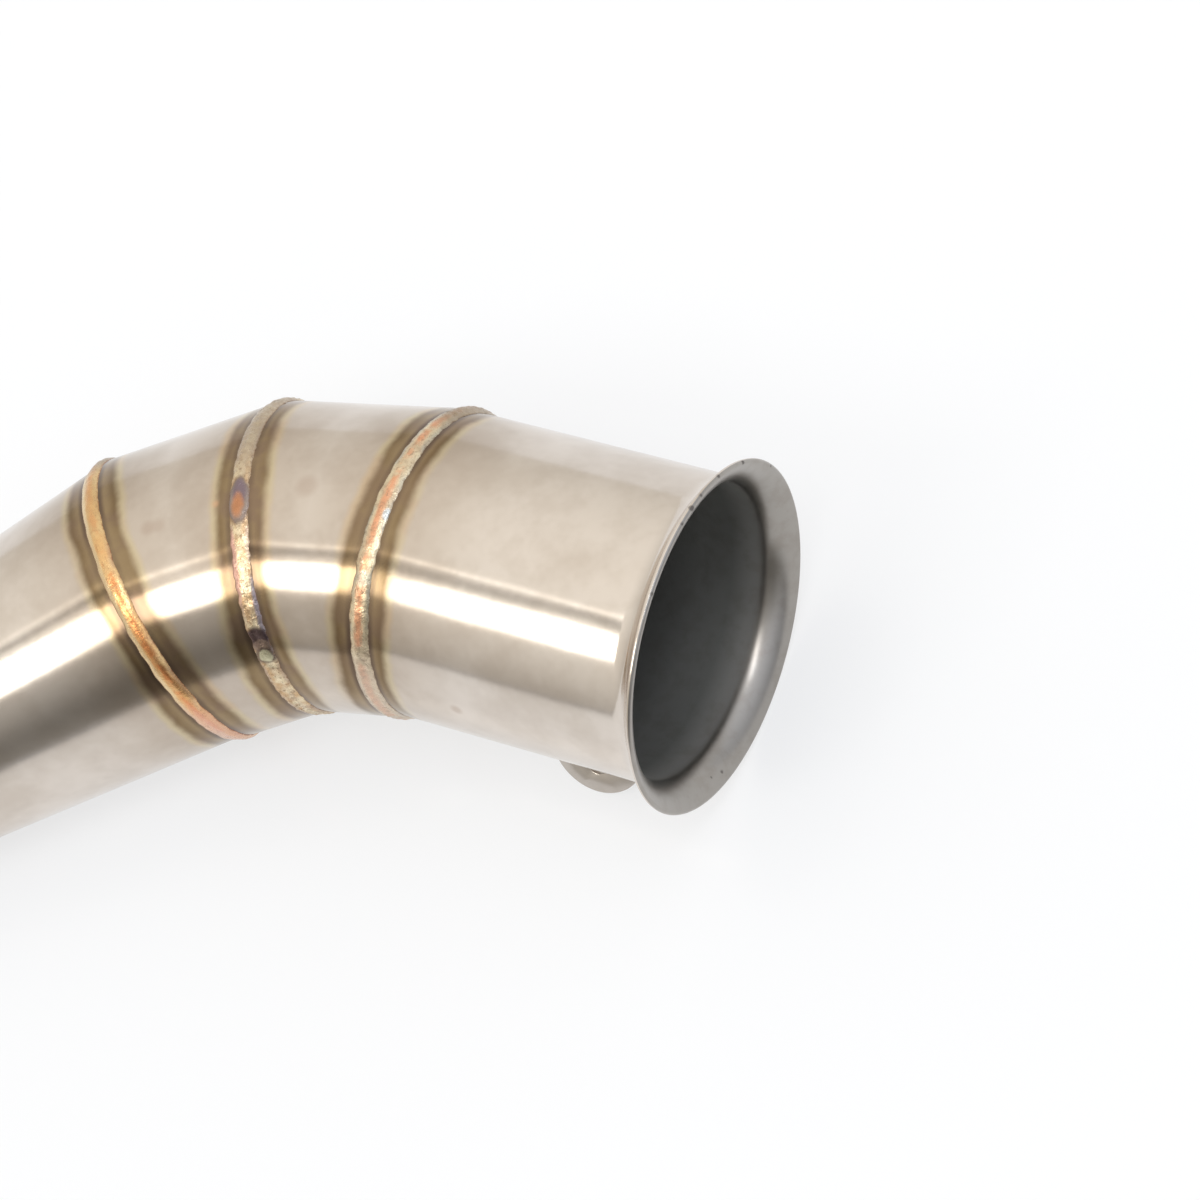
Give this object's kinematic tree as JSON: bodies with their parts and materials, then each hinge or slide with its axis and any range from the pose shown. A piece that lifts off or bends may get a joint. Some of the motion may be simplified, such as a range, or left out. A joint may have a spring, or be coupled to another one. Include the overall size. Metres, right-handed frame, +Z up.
{
  "type": "exhaust link pipe",
  "caption": "Pie-cut stainless steel exhaust link pipe elbow with a flared outlet, a reducing inlet cone, weld beads and a spring tab.",
  "frame": {"origin": "centre of the inlet's open end, on the inlet's axis", "axes": "+X along the inlet towards the bend, seen from above; +Z up as the pipe lies on a flat surface; the outlet turns towards -Y"},
  "size_m": [0.1952, 0.0992, 0.058],
  "materials": {
    "tube_steel": "satin stainless tube, warm grey, with straw heat tint beside each weld",
    "copper_bead": "rippled weld bead, copper orange heat colour",
    "straw_bead": "rippled weld bead, straw and gold heat colour with blue and purple patches",
    "tab_steel": "flat satin stainless plate",
    "dull_bead": "small dull fillet weld"
  },
  "bodies": {
    "root": {"reducer_cone": "tube_steel", "cone_weld": "copper_bead", "pie_cut_ring_1": "tube_steel", "middle_weld": "straw_bead", "pie_cut_ring_2": "tube_steel", "outlet_weld": "straw_bead", "outlet_tube": "tube_steel", "spring_tab": "tab_steel", "tab_weld": "dull_bead"}
  },
  "joints": []
}
